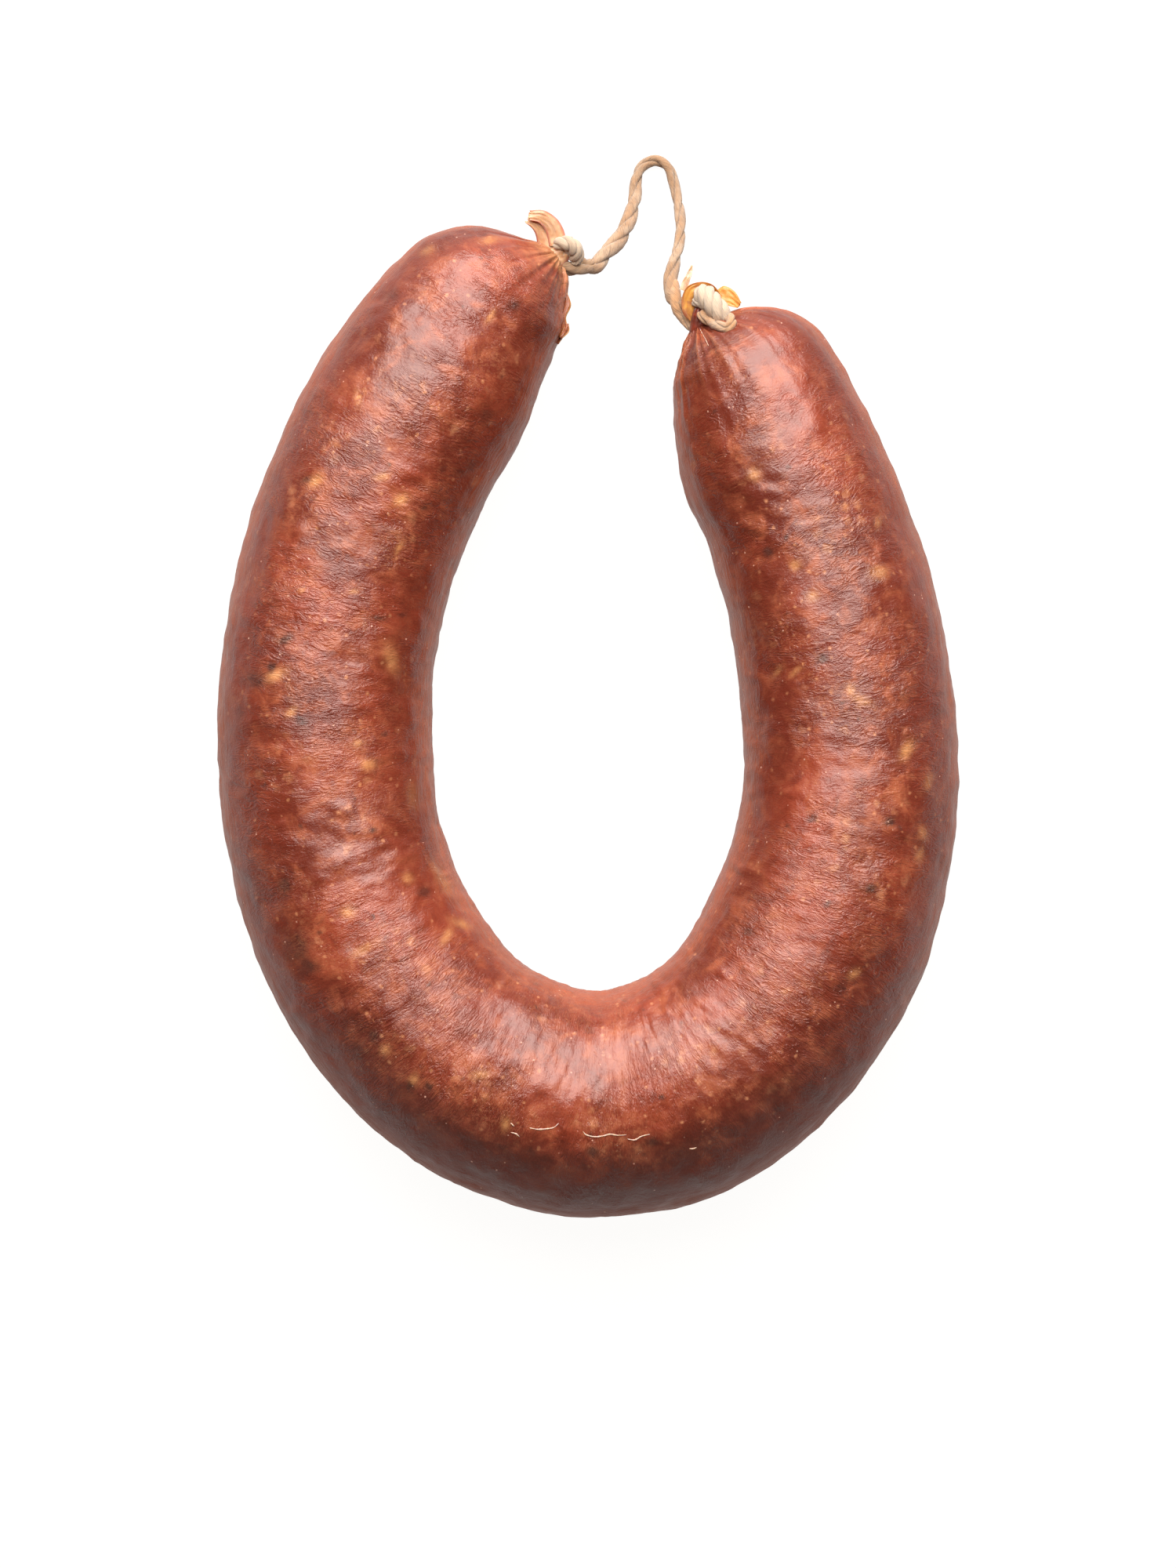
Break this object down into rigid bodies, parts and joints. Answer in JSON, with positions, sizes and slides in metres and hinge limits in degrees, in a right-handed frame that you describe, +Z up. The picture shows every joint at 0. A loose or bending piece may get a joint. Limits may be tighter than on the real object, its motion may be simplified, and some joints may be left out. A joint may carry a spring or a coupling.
{
  "type": "cured sausage",
  "caption": "Smoked sausage bent into a U and lying flat, its gathered casing ends tied with one length of twisted cotton string.",
  "frame": {"origin": "on the surface that the sausage lies on, under the middle of the sausage's bounding box", "axes": "+Z up from that surface, +Y from the closed bend of the U towards its two tied ends, +X from the left limb to the right limb"},
  "size_m": [0.1398, 0.2035, 0.04],
  "materials": {
    "casing": "semi-gloss smoked natural casing, red-brown and mottled with paler fat",
    "string": "matt two-ply cotton string, cream to smoky tan"
  },
  "bodies": {
    "root": {"sausage": "casing", "tie_left": "string", "tie_right": "string", "string": "string"}
  },
  "joints": []
}
